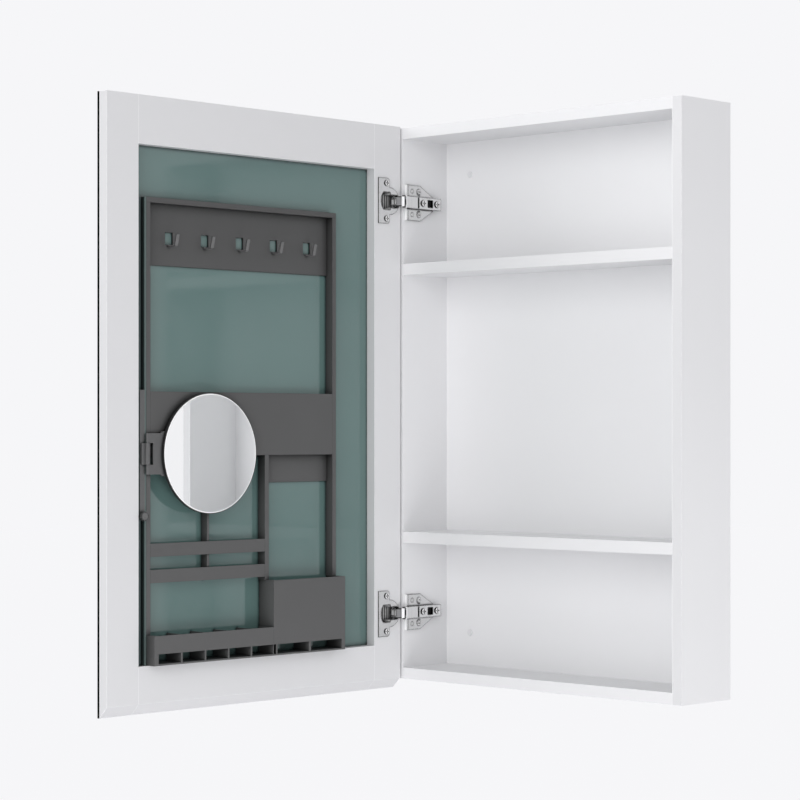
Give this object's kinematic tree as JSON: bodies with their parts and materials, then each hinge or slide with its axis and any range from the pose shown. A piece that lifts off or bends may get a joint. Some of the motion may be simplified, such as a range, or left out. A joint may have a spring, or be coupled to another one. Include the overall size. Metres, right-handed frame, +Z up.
{
  "type": "mirror_cabinet",
  "caption": "Wall mirror cabinet with shelves, cup-hinged mirror door, hooked and pocketed door tidy, and a sliding, swinging magnifier",
  "frame": {"origin": "middle of the wall face, half way up the side panels", "axes": "+X right as seen from the room, +Y into the wall, +Z up"},
  "size_m": [0.5048, 0.603, 0.7642],
  "materials": {
    "carcass_board": "satin light grey foil on board",
    "back_board": "satin light grey foil on board",
    "door_frame": "satin light grey foil on board",
    "dowel_wood": "bare beech",
    "cap_plastic": "smooth moulded",
    "hinge_nickel": "bright nickel plating",
    "screw_nickel": "nickel plating",
    "link_steel": "dark pressed steel",
    "door_mirror": "silvered glass, grey-green painted back",
    "magnifier_mirror": "silvered glass with a ground edge",
    "tidy_plastic": "fine satin texture",
    "slider_plastic": "fine satin texture"
  },
  "bodies": {
    "cabinet": {"left_side_panel": "carcass_board", "right_side_panel": "carcass_board", "top_panel": "carcass_board", "bottom_panel": "carcass_board", "back_panel": "back_board", "upper_shelf": "carcass_board", "lower_shelf": "carcass_board", "board_dowels": "dowel_wood", "wall_screw_caps": "cap_plastic", "upper_hinge_plate": "hinge_nickel", "lower_hinge_plate": "hinge_nickel", "hinge_plate_screws": "screw_nickel", "upper_hinge_arm": "hinge_nickel", "lower_hinge_arm": "hinge_nickel", "hinge_arm_screws": "screw_nickel", "hinge_arm_pins": "screw_nickel"},
    "door": {"upper_hinge_cup": "hinge_nickel", "lower_hinge_cup": "hinge_nickel", "hinge_cup_screws": "screw_nickel", "hinge_cup_pins": "screw_nickel", "closing_springs": "link_steel", "hinge_stile": "door_frame", "free_stile": "door_frame", "top_rail": "door_frame", "bottom_rail": "door_frame", "frame_dowels": "dowel_wood", "mirror_glass": "door_mirror", "tidy_top_member": "tidy_plastic", "tidy_hinge_side_member": "tidy_plastic", "tidy_free_side_member": "tidy_plastic", "hook_panel": "tidy_plastic", "hook_1": "tidy_plastic", "hook_2": "tidy_plastic", "hook_3": "tidy_plastic", "hook_4": "tidy_plastic", "hook_5": "tidy_plastic", "middle_pocket_band": "tidy_plastic", "middle_pocket_floor": "tidy_plastic", "back_plate": "tidy_plastic", "upright_divider": "tidy_plastic", "upper_slim_band": "tidy_plastic", "lower_slim_band": "tidy_plastic", "small_divider": "tidy_plastic", "side_pocket": "tidy_plastic", "tray": "tidy_plastic", "slide_rail": "slider_plastic"},
    "outer_links": {"upper_outer_link": "link_steel", "lower_outer_link": "link_steel"},
    "inner_links": {"upper_inner_link": "link_steel", "lower_inner_link": "link_steel"},
    "slider": {"slider_bar": "slider_plastic"},
    "knob": {"slider_knob": "slider_plastic"},
    "magnifier": {"swing_bracket": "slider_plastic", "mirror_holder": "slider_plastic", "magnifier_glass": "magnifier_mirror"}
  },
  "joints": [
    {"name": "door_hinge", "type": "hinge", "parent": "cabinet", "child": "door", "pos_m": [-0.2434, -0.1078, 0], "axis": [0, 0, 1], "range_deg": [-5, 90]},
    {"name": "outer_link_fold", "type": "hinge", "parent": "cabinet", "child": "outer_links", "pos_m": [-0.226, -0.105, 0], "axis": [0, 0, 1], "range_deg": [-29.6, 1.7]},
    {"name": "inner_link_fold", "type": "hinge", "parent": "cabinet", "child": "inner_links", "pos_m": [-0.2303, -0.0986, 0], "axis": [0, 0, 1], "range_deg": [-0.6, 10.7]},
    {"name": "magnifier_slide", "type": "slide", "parent": "door", "child": "slider", "axis": [0, 0, 1], "range_m": [-0.026, 0.16]},
    {"name": "magnifier_swing", "type": "hinge", "parent": "slider", "child": "magnifier", "pos_m": [-0.2351, -0.5414, -0.0656], "axis": [0, 0, -1], "range_deg": [0, 27]},
    {"name": "knob_turn", "type": "hinge", "parent": "slider", "child": "knob", "pos_m": [-0.2326, -0.54725, -0.14235], "axis": [1, 0, 0], "range_deg": [0, 90]}
  ],
  "couplings": [
    {"joint": "outer_link_fold", "follows": "door_hinge", "ratio": -0.32821},
    {"joint": "inner_link_fold", "follows": "door_hinge", "ratio": 0.11847}
  ]
}
